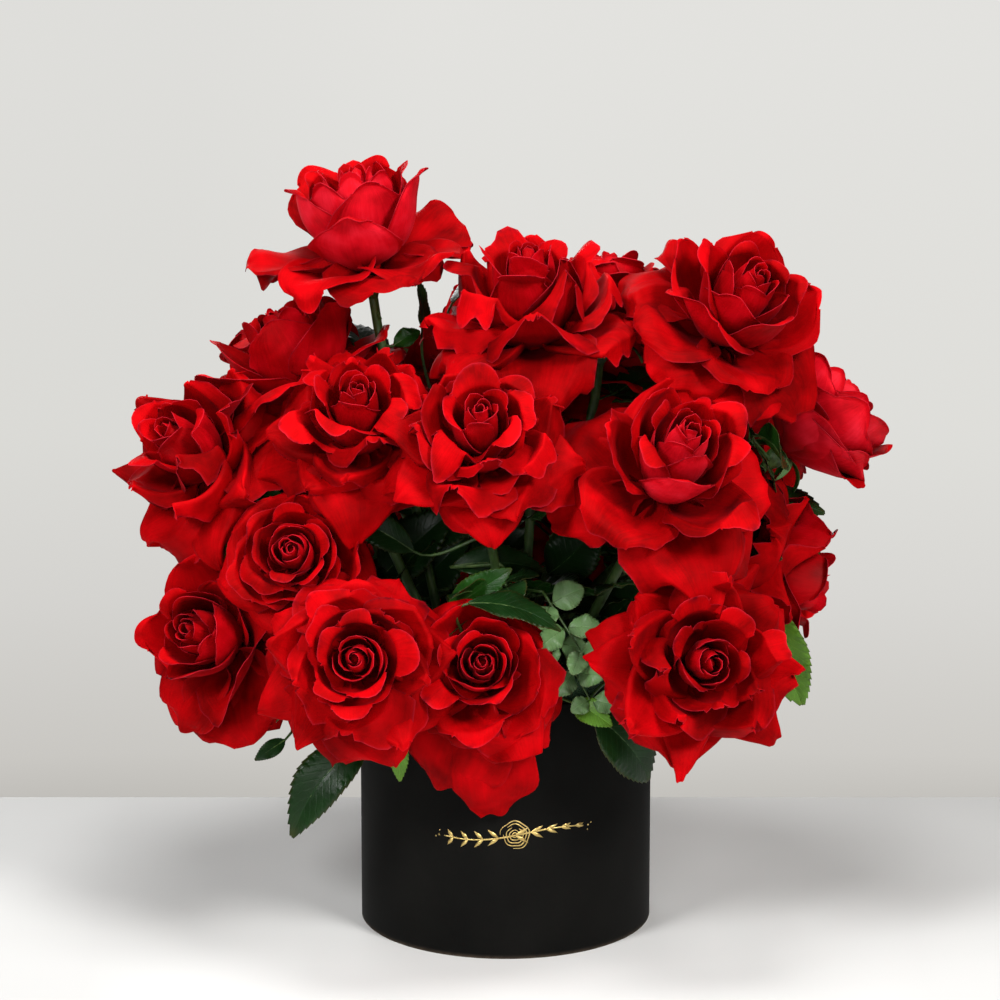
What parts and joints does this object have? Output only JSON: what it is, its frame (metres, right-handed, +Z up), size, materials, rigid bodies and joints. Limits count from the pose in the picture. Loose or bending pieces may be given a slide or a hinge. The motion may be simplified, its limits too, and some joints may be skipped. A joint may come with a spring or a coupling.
{
  "type": "flower box",
  "caption": "Round paper-covered hat box overflowing with open red roses held in wet foam, with loose serrated leaves; the whole planted liner lifts out.",
  "frame": {"origin": "centre of the underside of the box, on its axis", "axes": "+Z up along the box axis, -Y towards the front of the box with the foil ornament, +X to the right seen from the front"},
  "size_m": [0.4547, 0.3753, 0.4591],
  "materials": {
    "greyboard": "matte",
    "wrap_paper": "matte",
    "liner_plastic": "gloss",
    "foam": "matte",
    "petals": "satin",
    "stems": "satin",
    "leaves": "satin",
    "gold_foil": "gloss"
  },
  "bodies": {
    "box": {"box_wall": "greyboard", "box_base": "greyboard", "box_wrap": "wrap_paper"},
    "arrangement": {"water_liner": "liner_plastic", "floral_foam": "foam", "rose_01_stem": "stems", "rose_02_stem": "stems", "rose_03_stem": "stems", "rose_04_stem": "stems", "rose_05_stem": "stems", "rose_06_stem": "stems", "rose_07_stem": "stems", "rose_08_stem": "stems", "rose_09_stem": "stems", "rose_10_stem": "stems", "rose_11_stem": "stems", "rose_12_stem": "stems", "rose_13_stem": "stems", "rose_14_stem": "stems", "rose_15_stem": "stems", "rose_16_stem": "stems", "rose_17_stem": "stems", "rose_18_stem": "stems", "rose_19_stem": "stems", "rose_20_stem": "stems", "rose_21_stem": "stems", "rose_22_stem": "stems", "rose_23_stem": "stems", "rose_24_stem": "stems", "rose_25_stem": "stems", "rose_26_stem": "stems", "rose_01_head": "petals", "rose_02_head": "petals", "rose_03_head": "petals", "rose_04_head": "petals", "rose_05_head": "petals", "rose_06_head": "petals", "rose_07_head": "petals", "rose_08_head": "petals", "rose_09_head": "petals", "rose_10_head": "petals", "rose_11_head": "petals", "rose_12_head": "petals", "rose_13_head": "petals", "rose_14_head": "petals", "rose_15_head": "petals", "rose_16_head": "petals", "rose_17_head": "petals", "rose_18_head": "petals", "rose_19_head": "petals", "rose_20_head": "petals", "rose_21_head": "petals", "rose_22_head": "petals", "rose_23_head": "petals", "rose_24_head": "petals", "rose_25_head": "petals", "rose_26_head": "petals", "foliage_front": "leaves", "foliage_sides": "leaves", "foliage_back": "leaves"}
  },
  "joints": [
    {"name": "arrangement_lift", "type": "slide", "parent": "box", "child": "arrangement", "axis": [0, 0, 1], "range_m": [0, 0.2]}
  ]
}
